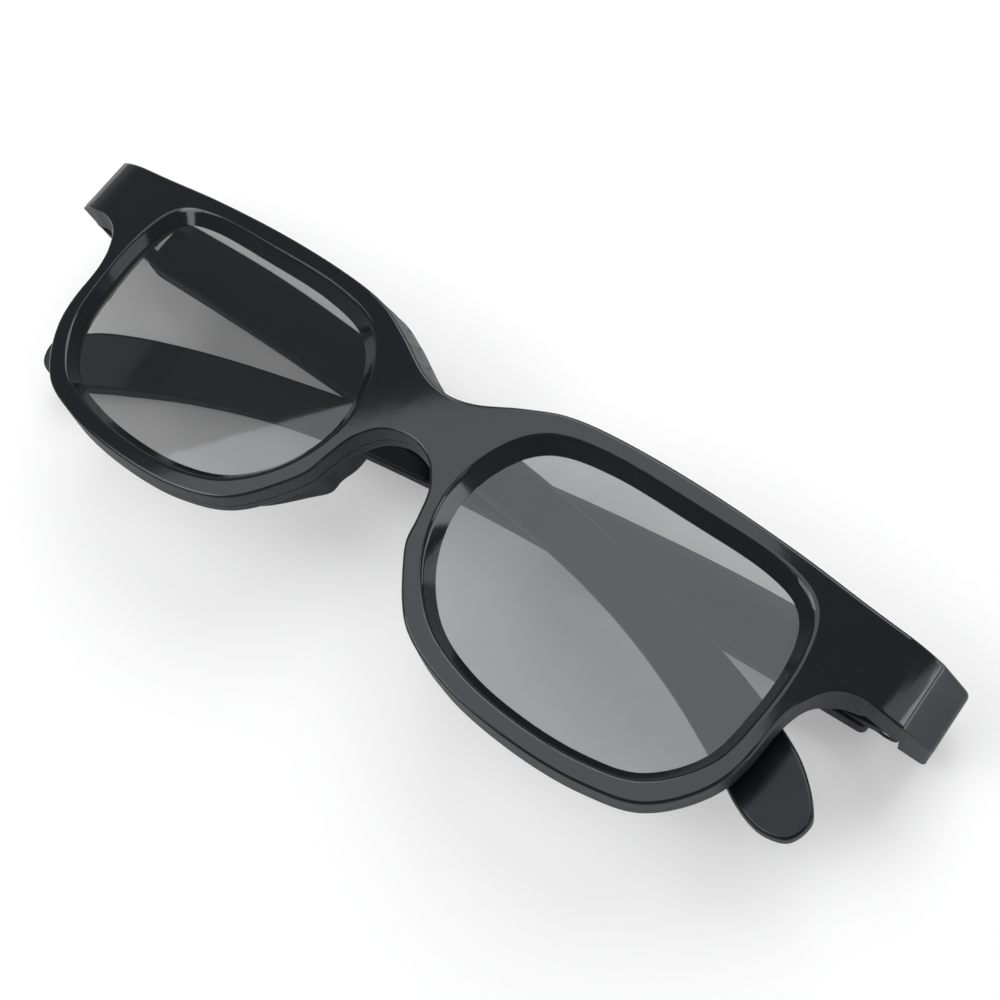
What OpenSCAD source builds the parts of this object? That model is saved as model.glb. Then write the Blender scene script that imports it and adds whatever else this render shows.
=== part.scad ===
// Passive polarised 3D glasses, folded and lying face up on the right-hand arm.
// +X is to the viewer's right, +Y towards the brow, +Z up out of the front face.

/* [Front] */
// Width across the end pieces
front_w = 150; // [140:0.5:165]
// Radius of the wrap of the front face
wrap_r = 680; // [400:10:1200]
// Thickness of the front moulding
front_t = 2.9; // [2.6:0.05:4]
// Thickness of the rear moulding
rear_t = 1.8; // [1.2:0.05:3]
// Height of the brow above the lens opening
rim_brow = 2.45; // [2.2:0.05:5]
// Width of the rim beside the arm
rim_side = 1.8; // [1.6:0.05:4]
// Width of the rim below the lens
rim_low = 2.35; // [2:0.05:5]
// Width of the rim beside the nose
rim_nose = 1.6; // [1.4:0.05:3]
// Growth of the lower outline from the front face to the rear face
flare_low = 0.75; // [0.4:0.05:1.6]
// Growth of the brow outline from the front face to the rear face
flare_brow = 0.35; // [0:0.05:1]

/* [Lens opening] */
// Width of the lens opening at the front face
lens_w = 48.4; // [44:0.2:52]
// Height of the lens opening at the front face
lens_h = 35; // [30:0.1:38]
// Distance between the two lens openings
bridge_w = 17.9; // [16:0.1:22]
// Depth of the sloping wall round the lens opening
bevel_depth = 2.15; // [1.5:0.05:2.4]
// Inward run of that wall
bevel_run = 1.35; // [0.8:0.05:1.8]

/* [Bridge and nose] */
// Height of the bridge top above the middle of the lens openings
bridge_top = 12.3; // [10:0.1:14]
// Height of the nose arch above the middle of the lens openings
arch_top = 4.55; // [2:0.05:6]
// Half width of the nose arch where it meets the nose pads
arch_half = 6.5; // [5.5:0.1:7.5]
// Depth of the nose pads behind the front face
pad_depth = 7.2; // [6.5:0.1:11]
// Lean of the nose pads towards the nose
pad_lean = 1.1; // [0:0.05:1.6]
// Thickness of the nose pads
pad_t = 2.1; // [1.6:0.05:2.4]

/* [End pieces] */
// Top of the end piece above the middle of the lens openings
end_top = 17.9; // [16:0.1:19]
// Underside of the end piece above the middle of the lens openings
end_low = 8.3; // [6:0.1:10]
// Run of the notch from the rim to the straight underside of the end piece
notch_run = 6; // [4:0.1:8]
// Width of the slanting end facet
facet_run = 4.2; // [3:0.1:6]
// Width of the rounded shoulder beside it
shoulder_run = 5.8; // [4:0.1:8]
// Radius of the rounded shoulder
shoulder_r = 14; // [10:0.5:20]
// Depth of the slanting end facet
facet_depth = 5.3; // [4:0.1:7]
// Rise of the end piece's underside towards the hinge
end_rise = 1.4; // [0.5:0.1:1.6]

/* [Lens films] */
// Thickness of the retarder film at the front
retarder_t = 0.15; // [0.1:0.01:0.2]
// Thickness of the polarising film
polariser_t = 0.15; // [0.1:0.01:0.2]
// Thickness of the backing film
backing_t = 0.25; // [0.15:0.01:0.3]
// Width of lens held behind the front lip
lens_lip = 1.1; // [0.8:0.05:1.4]

/* [Arms] */
// Length of an arm from its butt to its tip
arm_l = 134.9; // [125:0.1:140]
// Height of an arm at its butt
arm_h = 9.6; // [9:0.1:11]
// Height of an arm at its waist
arm_waist = 7.3; // [6:0.1:9]
// Height of an arm near its tip
arm_paddle = 10.2; // [8:0.1:11]
// Drop of the tip below the hinge
arm_drop = 23.4; // [15:0.1:26]
// Thickness of an arm at its butt
arm_t = 3.8; // [3.4:0.05:4.5]
// Thickness of an arm past its taper
arm_thin = 2.8; // [2.2:0.05:3]
// Length of the taper in thickness
arm_taper = 40; // [25:1:50]
// Straight length before the arm curves in towards the head
bow_start = 88; // [80:1:100]
// Radius of that curve
bow_r = 285; // [180:5:600]

/* [Hinges] */
// Depth of the hinge pin behind the middle of the front face
pivot_depth = 17.2; // [16:0.1:20]
// Distance from the hinge pin to the arm's inner face
pivot_inset = 2; // [1.9:0.05:2.4]
// Distance from the hinge pin to the arm's butt
butt_gap = 2.4; // [2.3:0.05:3]
// Height of the hinge above the middle of the lens openings
hinge_up = 14.2; // [12.5:0.1:14.5]
// Radius of the hinge pin
pin_r = 0.75; // [0.5:0.05:0.9]
// Height of the middle knuckle
tongue_h = 4.2; // [3.5:0.1:5]
// Extra closing of the upper arm, which lies over the lower one
over_fold = 4.2; // [4:0.1:5]
// Set of both arms in their own plane, as they lie
arm_skew = 0.9; // [0:0.1:2]

/* [Hidden] */

// Fits
seam_gap = 0.05;      // between mouldings and films that lie face to face
lens_play = 0.15;     // round the edge of a lens film
run_gap = 0.05;       // pin in an arm's knuckle, on the radius
press_gap = 0.01;     // pin in the middle knuckle, on the radius
clear = 0.3;          // between faces that pass each other
eps = 0.01;

// Places worked out from the sizes above
middle_y = (rim_low + flare_low - rim_brow - flare_brow)/2;
front_z = pivot_depth + pivot_inset + arm_t;
lens_x = (bridge_w + lens_w)/2;
knuckle_r = pivot_inset - clear;
pivot_x = front_w/2 - arm_t - pivot_inset;
pivot_z = front_z - pivot_depth;
hinge_y = middle_y + hinge_up;
total_t = front_t + seam_gap + rear_t;
film_gap = seam_gap;
corner_half = front_w/2 - facet_run;
shoulder_half = corner_half - shoulder_run;
end_x = front_w/2 + facet_run/2;
steps = 6;            // spline points between two named points
arc_fn = 720;         // facets of a full circle at the wrap radius
round_fn = 48;

// Curves
function curve_point(a, b, c, d, t) =
    0.5*(2*b + (c - a)*t + (2*a - 5*b + 4*c - d)*t*t + (3*b - a - 3*c + d)*t*t*t);
function open_curve(p, first, last, n = steps) = let (q = concat([first], p, [last])) concat(
    [for (i = [1:len(p) - 1], k = [0:n - 1]) curve_point(q[i - 1], q[i], q[i + 1], q[i + 2], k/n)],
    [p[len(p) - 1]]);
function closed_curve(p, n = steps) = let (m = len(p)) [for (i = [0:m - 1], k = [0:n - 1])
    curve_point(p[(i + m - 1) % m], p[i], p[(i + 1) % m], p[(i + 2) % m], k/n)];
function flip(p) = [-p[0], p[1]];
function reversed(p) = [for (i = [len(p) - 1:-1:0]) p[i]];
function unit(v) = v/max(norm(v), eps);
// Outward normals of a closed clockwise outline
function normals(p) = let (m = len(p)) [for (i = [0:m - 1])
    let (t = p[(i + 1) % m] - p[(i + m - 1) % m]) unit([-t[1], t[0]])];
function fall(x) = sqrt(wrap_r*wrap_r - x*x) - wrap_r;
function at_depth(p, d) = [for (q = p) [q[0], q[1], front_z + fall(q[0]) - d]];
function at_height(p, z) = [for (q = p) [q[0], q[1], z]];

// One lens opening as shares of its half width and half height, clockwise from the nose
lens_unit = [[-1, 0.06], [-0.935, 0.53], [-0.74, 0.86], [-0.38, 0.985], [0.15, 1.0], [0.64, 0.985],
    [0.895, 0.855], [0.99, 0.52], [0.99, 0.02], [0.925, -0.45], [0.71, -0.815], [0.42, -0.955],
    [0.05, -1.0], [-0.33, -0.955], [-0.65, -0.785], [-0.89, -0.42]];
low_unit = [for (i = [8:15]) lens_unit[i]];
function lens_curve(grow) = closed_curve([for (q = lens_unit)
    [lens_x + q[0]*(lens_w/2 + grow), middle_y + q[1]*(lens_h/2 + grow)]]);
function low_rim(q) = [lens_x + q[0]*(lens_w/2 + (q[0] > 0 ? rim_side : rim_nose)),
    middle_y + q[1]*(lens_h/2 + rim_low)];

// Right half of the front outline
brow_y = middle_y + lens_h/2 + rim_brow;
top_y = middle_y + bridge_top;
end_y = middle_y + end_top;
notch_y = middle_y + end_low;
side_x = lens_x + lens_w/2 + rim_side;
nose_x = lens_x - lens_w/2 - rim_nose;
brow_line = [[0, top_y], [nose_x*0.6, top_y + rim_brow*0.37],
    [nose_x*1.4, (top_y + brow_y)/2 + rim_brow*0.04], [lens_x*0.49, brow_y - rim_brow*0.55],
    [lens_x*0.74, brow_y - rim_brow*0.12], [lens_x*1.1, brow_y], [lens_x*1.5, brow_y - rim_brow*0.2],
    [side_x + notch_run*0.47, brow_y - rim_brow*0.61], [end_x, end_y - rim_brow*0.29]];
notch_line = [[end_x, notch_y], [side_x + notch_run*1.58, notch_y + notch_run*0.017],
    [side_x + notch_run, notch_y + notch_run*0.033], [side_x + notch_run*0.52, notch_y - notch_run*0.17],
    [side_x + notch_run*0.2, notch_y - notch_run*0.6], low_rim([1, 0.06])];
rim_line = concat(notch_line, [for (i = [1:7]) low_rim(low_unit[i])],
    [[nose_x + rim_nose*0.6, middle_y - arch_half*0.57], [arch_half, middle_y + arch_half*0.07],
     [arch_half*0.6, middle_y + arch_top*0.75], [0, middle_y + arch_top]]);
half_line = concat(
    open_curve(brow_line, flip(brow_line[1]), 2*brow_line[8] - brow_line[7]),
    open_curve(rim_line, 2*rim_line[0] - rim_line[1], flip(rim_line[len(rim_line) - 2])));
half_n = len(half_line);
front_line = concat(half_line, [for (i = [half_n - 2:-1:1]) flip(half_line[i])]);
front_normal = normals(front_line);
// The lower rim and the slopes of the bridge flare to the rear, the brow and the end pieces less
function slope_share(p, n) = min(max(-sign(p[0])*n[0]*2, 0), 1);
function flare(p, n) = abs(p[0]) > side_x + notch_run*0.17 ? (n[1] > 0 ? flare_brow : 0)
    : n[1] > 0.3 ? flare_brow + (flare_low - flare_brow)*slope_share(p, n)
    : p[1] > middle_y && abs(p[0]) < arch_half ? flare_brow : flare_low;
rear_line = [for (i = [0:len(front_line) - 1])
    front_line[i] + front_normal[i]*flare(front_line[i], front_normal[i])];

// Solids from rings of points
module loft(rings, fans = false) {
    m = len(rings[0]);
    k = len(rings);
    mid = [for (r = [rings[0], rings[k - 1]]) [for (a = [0:2]) [for (q = r) q[a]]*[for (q = r) 1]/m]];
    points = concat([for (r = rings, q = r) q], mid);
    sides = [for (j = [0:k - 2], i = [0:m - 1], h = [0, 1]) let (n = (i + 1) % m) h == 0
        ? [j*m + i, (j + 1)*m + n, j*m + n] : [j*m + i, (j + 1)*m + i, (j + 1)*m + n]];
    caps = fans
        ? [for (i = [0:m - 1], h = [0, 1]) let (n = (i + 1) % m)
            h == 0 ? [k*m, i, n] : [k*m + 1, (k - 1)*m + n, (k - 1)*m + i]]
        : [[for (i = [0:m - 1]) i], [for (i = [m - 1:-1:0]) (k - 1)*m + i]];
    polyhedron(points, concat(sides, caps), convexity = 8);
}

module both_sides() {
    children();
    mirror([1, 0, 0]) children();
}

// A profile drawn in X and Z, extruded along Y over the whole height
module along_y(h, y = 0) {
    translate([0, y + h/2, 0]) rotate([90, 0, 0]) linear_extrude(height = h) children();
}

// Drafted solid of the whole front outline, standing past both faces by the overrun
overrun = 0.6;
function drafted(share) = [for (i = [0:len(front_line) - 1])
    front_line[i] + (rear_line[i] - front_line[i])*share];
module outline_body() {
    past = overrun/total_t;
    loft([at_height(drafted(-past), front_z + 2*overrun), at_depth(drafted(-past), -overrun),
        at_depth(drafted(1 + past), total_t + overrun), at_height(drafted(1 + past), 0)]);
}

// The wrapped layer between two depths, out to half width w
module wrap_layer(d1, d2, w) {
    along_y(3*lens_h) intersection() {
        translate([-w, front_z - wrap_r]) square([2*w, wrap_r + overrun]);
        difference() {
            translate([0, front_z - d1 - wrap_r]) circle(r = wrap_r, $fn = arc_fn);
            translate([0, front_z - d2 - wrap_r]) circle(r = wrap_r, $fn = arc_fn);
        }
    }
}

// Section of an end piece: shoulder, facet and the return that carries the hinge
shoulder_from = asin(shoulder_half/wrap_r);
shoulder_to = asin(sin(shoulder_from) + (corner_half - shoulder_half)/shoulder_r);
function shoulder(a) = [shoulder_half + shoulder_r*(sin(a) - sin(shoulder_from)),
    front_z + fall(shoulder_half) - shoulder_r*(cos(shoulder_from) - cos(a))];
corner = shoulder(shoulder_to);
return_x = front_w/2 - arm_t;
return_z = pivot_z - butt_gap + clear;
plate_x = min(side_x - rim_side/3, shoulder_half - clear);
plate_z = front_z + fall(plate_x) - total_t;
module end_section() {
    polygon(concat(
        [[plate_x, plate_z], [plate_x, front_z + fall(plate_x)]],
        [for (i = [0:8]) shoulder(shoulder_from + (shoulder_to - shoulder_from)*i/8)],
        [[front_w/2, corner[1] - facet_depth], [front_w/2, return_z], [return_x, return_z],
         [return_x, corner[1] - facet_depth*1.26],
         [corner_half - facet_run*0.8, plate_z - facet_depth*0.15]]));
}

// Wedge that lifts the end piece's underside towards the hinge
module end_undercut() {
    translate([side_x + notch_run*1.08, 0, 0]) rotate([90, 0, 90]) linear_extrude(height = front_w/2)
        polygon([[notch_y - notch_run, corner[1]], [notch_y, corner[1]], [notch_y + end_rise, return_z],
            [notch_y + end_rise, 0], [notch_y - notch_run, 0]]);
}

// Sloping lens opening, cut from in front of the face down to the lip
module opening_cut() {
    slope = bevel_run/bevel_depth*overrun;
    loft([at_depth(lens_curve(slope), -overrun),
        at_depth(lens_curve(-bevel_run - slope), bevel_depth + overrun)], fans = true);
}

module lens_pocket(d1, d2, grow) {
    loft([at_depth(lens_curve(grow), d1), at_depth(lens_curve(grow), d2)], fans = true);
}

// Posts of the rear moulding that are staked into the front one
post_r = 0.9;
post_l = 1.5;
post_places = [[nose_x*0.62, middle_y + (arch_top + bridge_top)/2],
    [side_x - rim_side*1.1, brow_y - rim_brow*1.39]];
module posts(grow) {
    for (p = post_places)
        translate([p[0], p[1], front_z + fall(p[0]) - total_t + rear_t/2])
            cylinder(r = post_r + grow, h = post_l + rear_t/2 + seam_gap + grow, $fn = round_fn);
}

// Middle knuckle of a hinge with its arm to the return
module tongue() {
    translate([pivot_x, hinge_y, pivot_z]) rotate([90, 0, 0]) {
        cylinder(r = knuckle_r, h = tongue_h, center = true, $fn = round_fn);
        translate([0, -knuckle_r, -tongue_h/2]) cube([pivot_inset + arm_t/2, 2*knuckle_r, tongue_h]);
    }
}

module pin_bore(r) {
    translate([pivot_x, hinge_y, pivot_z]) rotate([90, 0, 0])
        cylinder(r = r, h = 2*arm_h, center = true, $fn = round_fn);
}

module front_frame() {
    color([0.05, 0.055, 0.062]) difference() {
        union() {
            intersection() {
                outline_body();
                union() {
                    wrap_layer(0, front_t, shoulder_half);
                    both_sides() difference() {
                        along_y(3*lens_h) end_section();
                        end_undercut();
                    }
                }
            }
            both_sides() tongue();
        }
        both_sides() {
            opening_cut();
            lens_pocket(bevel_depth, front_t + total_t, lens_lip - bevel_run + lens_play);
            posts(seam_gap);
            pin_bore(pin_r + press_gap);
        }
    }
}

// Stations of a nose pad down the nose side of the rim: place, depth and lean as shares
pad_stations = [[[arch_half, middle_y + pad_t*0.14], 0.9, 0.4],
    [[arch_half + pad_t*0.36, middle_y - pad_t*0.76], 0.97, 0.75],
    [[nose_x + rim_nose*0.6, middle_y - arch_half*0.58], 1, 1], [low_rim([-0.955, -0.3]), 1, 1],
    [low_rim(low_unit[7]), 0.95, 0.8], [low_rim([-0.78, -0.63]), 0.82, 0.3],
    [low_rim(low_unit[6]), 0.72, 0]];
pad_outward = unit([-1, -0.35]);
function pad_ring(s) = let (p = s[0], face = front_z + fall(p[0]),
    low = face - max(pad_depth*s[1], total_t + clear), top = face - total_t + rear_t*0.6,
    lean = pad_outward*pad_lean*s[2], a = p + pad_outward*flare_low*0.5)
    [[a[0], a[1], top], [a[0] + lean[0], a[1] + lean[1], low],
     [a[0] + lean[0] + pad_t*0.8, a[1] + lean[1] + pad_t*0.19, low], [a[0] + pad_t, a[1] + pad_t*0.24, top]];
module nose_pad() {
    loft([for (s = pad_stations) pad_ring(s)]);
}

module rear_frame() {
    color([0.06, 0.065, 0.07]) {
        difference() {
            union() {
                intersection() {
                    outline_body();
                    difference() {
                        wrap_layer(front_t + seam_gap, total_t, side_x);
                        both_sides() along_y(3*lens_h)
                            translate([plate_x - seam_gap, 0]) square([front_w/2, 2*front_z]);
                    }
                }
                both_sides() nose_pad();
            }
            both_sides() lens_pocket(front_t - overrun, total_t + pad_depth, -bevel_run);
        }
        both_sides() posts(0);
    }
}

module lens_film(d, t) {
    intersection() {
        wrap_layer(d, d + t, lens_x + lens_w);
        translate([0, 0, front_z/2]) linear_extrude(height = front_z)
            polygon(lens_curve(lens_lip - bevel_run));
    }
}

retarder_d = bevel_depth + film_gap;
polariser_d = retarder_d + retarder_t + film_gap;
backing_d = polariser_d + polariser_t + film_gap;
module retarder_film(side) {
    color([0.5, 0.52, 0.53, 0.5]) mirror([side < 0 ? 1 : 0, 0, 0]) lens_film(retarder_d, retarder_t);
}
module polariser_film(side) {
    color([0.35, 0.36, 0.37, 0.5]) mirror([side < 0 ? 1 : 0, 0, 0]) lens_film(polariser_d, polariser_t);
}
module backing_film(side) {
    color([0.55, 0.57, 0.58, 0.5]) mirror([side < 0 ? 1 : 0, 0, 0]) lens_film(backing_d, backing_t);
}

// An arm in its own frame: the pin at the origin, the arm along +X, its inner face up
// Stations along it: share of the length, share of the drop, height
arm_stations = [[0, 0, arm_h], [0.17, 0.018, arm_h*1.03], [0.32, 0.075, arm_h*0.96],
    [0.47, 0.16, arm_h*0.4 + arm_waist*0.55], [0.62, 0.271, arm_waist], [0.725, 0.397, arm_waist*1.01],
    [0.82, 0.566, arm_waist*0.55 + arm_paddle*0.45], [0.9, 0.76, arm_paddle]];
arm_tip = butt_gap + arm_l;
arm_upper = [for (q = arm_stations) [butt_gap + q[0]*arm_l, q[2]/2 - q[1]*arm_drop]];
arm_lower = [for (q = arm_stations) [butt_gap + q[0]*arm_l, -q[2]/2 - q[1]*arm_drop]];
function tip_point(back, up) = [arm_tip - back*arm_paddle, up*arm_paddle - arm_drop];
arm_end = [tip_point(0.62, 0.72), tip_point(0.265, 0.45), tip_point(0.03, 0.17), tip_point(0, -0.02),
    tip_point(0.09, -0.23), tip_point(0.265, -0.32), tip_point(0.52, -0.33), tip_point(0.86, -0.21)];
arm_points = concat(arm_upper, arm_end, reversed(arm_lower));
arm_line = open_curve(arm_points, 2*arm_points[0] - arm_points[1],
    2*arm_points[len(arm_points) - 1] - arm_points[len(arm_points) - 2], 4);
function bow(r, x, a) = [x + r*sin(a), -pivot_inset - arm_t + bow_r - r*cos(a)];
bow_x = butt_gap + bow_start;
bow_end = asin(min((arm_tip + arm_t - bow_x)/(bow_r - arm_thin), 0.9));
module arm_section() {
    polygon(concat(
        [[butt_gap, -pivot_inset], [butt_gap, -pivot_inset - arm_t]],
        [for (i = [0:10]) bow(bow_r, bow_x, bow_end*i/10)],
        [for (i = [10:-1:0]) bow(bow_r - arm_thin, bow_x, bow_end*i/10)],
        [[butt_gap + arm_taper, -pivot_inset - arm_t + arm_thin], [butt_gap + arm_t, -pivot_inset]]));
}

// One outer knuckle with its gusset down to the arm's inner face
knuckle_h = (arm_h - tongue_h)/2 - 2*clear;
gusset_l = butt_gap*2.7;
gusset_root = arm_t/8;
module arm_knuckle() {
    half = 0.7071*knuckle_r;
    rotate([90, 0, 0]) {
        cylinder(r = knuckle_r, h = knuckle_h, center = true, $fn = round_fn);
        translate([0, 0, -knuckle_h/2]) linear_extrude(height = knuckle_h)
            polygon([[0, knuckle_r], [gusset_l, -pivot_inset], [gusset_l, -pivot_inset - gusset_root],
                [butt_gap + eps, -pivot_inset - gusset_root], [butt_gap + eps, -pivot_inset],
                [half, -half], [0, 0]]);
    }
}

module arm(skew) {
    difference() {
        union() {
            rotate([0, 0, skew]) intersection() {
                translate([0, 0, -2*arm_t - pivot_inset]) linear_extrude(height = arm_l) polygon(arm_line);
                along_y(4*arm_drop) arm_section();
            }
            for (up = [-1, 1])
                translate([0, up*(tongue_h/2 + clear + knuckle_h/2), 0]) arm_knuckle();
        }
        rotate([90, 0, 0]) cylinder(r = pin_r + run_gap, h = 2*arm_h, center = true, $fn = round_fn);
    }
}

module left_arm() {
    color([0.05, 0.055, 0.062]) translate([-pivot_x, hinge_y, pivot_z]) rotate([0, -over_fold, 0])
        arm(arm_skew);
}
module right_arm() {
    color([0.05, 0.055, 0.062]) translate([pivot_x, hinge_y, pivot_z]) mirror([1, 0, 0]) arm(-arm_skew);
}

module hinge_pin(side) {
    color([0.6, 0.6, 0.62]) translate([side*pivot_x, hinge_y, pivot_z]) rotate([90, 0, 0])
        cylinder(r = pin_r, h = tongue_h + 2*clear + 2*knuckle_h, center = true, $fn = round_fn);
}

front_frame();
rear_frame();
retarder_film(-1);  // left_retarder_film
retarder_film(1);  // right_retarder_film
polariser_film(-1);  // left_polariser_film
polariser_film(1);  // right_polariser_film
backing_film(-1);  // left_backing_film
backing_film(1);  // right_backing_film
left_arm();
right_arm();
hinge_pin(-1);  // left_hinge_pin
hinge_pin(1);  // right_hinge_pin
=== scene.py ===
from math import asin, cos, pi, radians, sin, sqrt

import bmesh
import bpy
from mathutils import Matrix, Vector
from mathutils.geometry import delaunay_2d_cdt


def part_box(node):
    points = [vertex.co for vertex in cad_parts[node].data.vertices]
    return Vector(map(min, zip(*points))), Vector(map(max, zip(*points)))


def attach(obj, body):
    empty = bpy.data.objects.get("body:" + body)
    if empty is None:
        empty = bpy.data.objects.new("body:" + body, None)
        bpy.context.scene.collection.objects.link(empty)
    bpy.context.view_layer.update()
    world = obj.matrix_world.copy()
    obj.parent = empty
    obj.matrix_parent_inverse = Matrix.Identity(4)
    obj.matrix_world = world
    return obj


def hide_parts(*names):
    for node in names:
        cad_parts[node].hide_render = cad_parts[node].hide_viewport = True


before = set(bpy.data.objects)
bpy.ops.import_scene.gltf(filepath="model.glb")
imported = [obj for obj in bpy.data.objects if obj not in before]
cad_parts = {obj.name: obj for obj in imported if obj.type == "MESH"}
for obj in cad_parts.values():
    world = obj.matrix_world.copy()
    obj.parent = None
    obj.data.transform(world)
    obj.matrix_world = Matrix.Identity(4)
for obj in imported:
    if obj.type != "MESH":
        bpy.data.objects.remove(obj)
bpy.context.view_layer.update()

# Sizes in millimetres and angles in degrees, as in the solids. The whole width and height come
# from the frame.
MM = 0.001
FRONT_W = 2*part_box("front_frame")[1].x/MM
FRONT_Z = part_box("front_frame")[1].z/MM
WRAP_R, FRONT_T, REAR_T = 680, 2.9, 1.8
RIM_BROW, RIM_SIDE, RIM_LOW, RIM_NOSE, FLARE_BROW = 2.45, 1.8, 2.35, 1.6, 0.35
LENS_W, LENS_H, BRIDGE_W = 48.4, 35, 17.9
LENS_T, LENS_PLAY, SEAM = 0.65, 0.15, 0.05
BRIDGE_TOP, ARCH_TOP, ARCH_HALF = 12.3, 4.55, 6.5
PAD_DEPTH, PAD_LEAN, PAD_T = 7.2, 1.1, 2.1
END_LOW, NOTCH_RUN, FACET_RUN, SHOULDER_RUN, SHOULDER_R = 8.3, 6, 4.2, 5.8, 14
ARM_L, ARM_H, ARM_WAIST, ARM_PADDLE, ARM_DROP = 134.9, 9.6, 7.3, 10.2, 23.4
ARM_T, ARM_THIN, ARM_TAPER, BOW_START, BOW_R = 3.8, 2.8, 40, 88, 285
PIVOT_DEPTH, PIVOT_INSET, BUTT_GAP, HINGE_UP = 17.2, 2, 2.4, 14.2
PIN_BORE, TONGUE_H, CLEAR = 0.8, 4.2, 0.3
OVER_FOLD, ARM_SKEW = 4.2, 0.9

# Sizes that depart a little from the solids, for the sake of what shows
FLARE_LOW, FLARE_SLOPE, FLARE_NOTCH = 0.45, 1.3, 1.5
NOSE_SWELL, NOSE_SWELL_UP = 0.8, 1     # growth of the rim, and where it starts above the middle
SIDE_SWELL, SIDE_SWELL_UP = 0.45, 2
SWELL_RUN, NOTCH_FADE, END_FADE = 8, 2, 0.8        # lengths over which a growth sets in
BEVEL_DEPTH, BEVEL_TILT, BEVEL_RUN, LENS_LIP = 1.85, 0.45, 1.55, 1.3
BEVEL_SHIFT = Vector((0.2, -0.35))     # the walls run further in at the nose and the brow
REAR_LIP, REAR_LEAD, REAR_DRAFT = 0.5, 0.05, 0.85  # overlap on the film, widening behind it
END_TOP, FACET_DEPTH, END_RISE = 18.3, 4.4, 2.1

# Rounding of moulded edges and corners, which the solids leave sharp
FACE_EDGE, BACK_EDGE, OPENING_EDGE, SEAM_EDGE = 0.4, 0.4, 0.3, 0.12
REAR_EDGE, REAR_EDGE_MIDDLE = 0.35, 0.12
ARM_EDGE, HINGE_EDGE, CORNER_EDGE = 0.45, 0.2, 0.18
END_CORNER, REAR_CORNER, BUTT_CORNER, GUSSET_CORNER, PAD_CORNER = 0.8, 1.0, 1.1, 0.8, 0.7

# Division of the meshes
SPAN_STEPS, ARM_STEPS, PAD_STEPS = 10, 8, 5        # curve points between two named points
FILLET_TURN, FILLET_STEPS, PAD_CORNER_STEPS = 40, 5, 4
KNUCKLE_STEP, HOLE_STEP = 11.25, 15    # degrees
STRIP_W, STRIP_MARGIN, FILM_STRIP_W, ARM_STRIPS = 3, 1, 2, 60
PLATE_CUTS, FACET_CUTS = (61, 63), (72.4, 73.6)    # places along X
SHOULDER_STEP, SHOULDER_CUTS, CORNER_CUTS = 0.8, 6, 3
SUPPORT = 0.15         # flat margin beside a rounded edge
STEP_W = 0.1           # run of a wall that stands across a slab
LAYER = 1000           # height of a slab before it is mapped to its faces
FACE_BAND = 10         # part of that height that belongs to each face
INSIDE_WITH_HOLES = 2  # kind of triangulation
SAME_POINT, ON_PLANE, WELD = 1e-6, 1e-5, 1e-4      # tolerances
SHARP_ANGLE = 50

# Parts of an outline's normal: from which it faces the brow, and at which the swell of the rim
# and the flare under a slope are whole
BROW_FACING, SWELL_FACING, SLOPE_FACING = 0.3, 0.77, 0.5

MIDDLE_Y = (RIM_LOW + FLARE_LOW - RIM_BROW - FLARE_BROW)/2
LENS_X = (BRIDGE_W + LENS_W)/2
TOTAL_T = FRONT_T + SEAM + REAR_T
KNUCKLE_R = PIVOT_INSET - CLEAR
KNUCKLE_H = (ARM_H - TONGUE_H)/2 - 2*CLEAR
GUSSET_START, GUSSET_END = BUTT_GAP + 0.1, BUTT_GAP*2.7
PIVOT = Vector((FRONT_W/2 - ARM_T - PIVOT_INSET, MIDDLE_Y + HINGE_UP, FRONT_Z - PIVOT_DEPTH))
CORNER_X = FRONT_W/2 - FACET_RUN
SHOULDER_X = CORNER_X - SHOULDER_RUN
SIDE_X = LENS_X + LENS_W/2 + RIM_SIDE
NOSE_X = LENS_X - LENS_W/2 - RIM_NOSE
END_X = FRONT_W/2 + FACET_RUN/2
NOTCH_X, UNDERCUT_X = SIDE_X + NOTCH_RUN*0.17, SIDE_X + NOTCH_RUN*1.08
PLATE_X = SIDE_X - RIM_SIDE/3
RETURN_X = FRONT_W/2 - ARM_T
RETURN_Z = PIVOT.z - BUTT_GAP + CLEAR
BROW_Y = MIDDLE_Y + LENS_H/2 + RIM_BROW
TOP_Y = MIDDLE_Y + BRIDGE_TOP
END_Y = MIDDLE_Y + END_TOP
NOTCH_Y = MIDDLE_Y + END_LOW


# Curves
def clamped(value):
    return min(max(value, 0), 1)


def share_of(value, full):
    """Smooth rise from 0 to 1 as a value goes from 0 to full."""
    t = clamped(value/full)
    return t*t*(3 - 2*t)


def curve_point(a, b, c, d, t):
    """Point between b and c on a smooth curve through four points."""
    return 0.5*(2*b + (c - a)*t + (2*a - 5*b + 4*c - d)*t**2 + (3*b - a - 3*c + d)*t**3)


def open_curve(points, first=None, last=None, n=SPAN_STEPS):
    """Smooth curve through points. first and last steer its ends, which run straight without them."""
    first = 2*points[0] - points[1] if first is None else first
    last = 2*points[-1] - points[-2] if last is None else last
    q = [first, *points, last]
    return [curve_point(*q[i - 1:i + 3], k/n)
            for i in range(1, len(points)) for k in range(n)] + [points[-1]]


def closed_curve(points, n=SPAN_STEPS):
    m = len(points)
    return [curve_point(points[i - 1], points[i], points[(i + 1) % m], points[(i + 2) % m], k/n)
            for i in range(m) for k in range(n)]


def corner_curve(start, corner, end, n):
    return [start.lerp(corner, k/n).lerp(corner.lerp(end, k/n), k/n) for k in range(n + 1)]


def arc(r, start, end, step):
    """Arc round the origin, with its angles in degrees."""
    n = round((end - start)/step)
    angles = [radians(start + (end - start)*i/n) for i in range(n + 1)]
    return [Vector((r*cos(a), r*sin(a))) for a in angles]


def flip(p):
    return Vector((-p.x, p.y))


def mirrored(ring, side):
    return [Vector((side*p.x, p.y, p.z)) for p in ring]


def vectors(pairs):
    return [Vector(p) for p in pairs]


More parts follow.
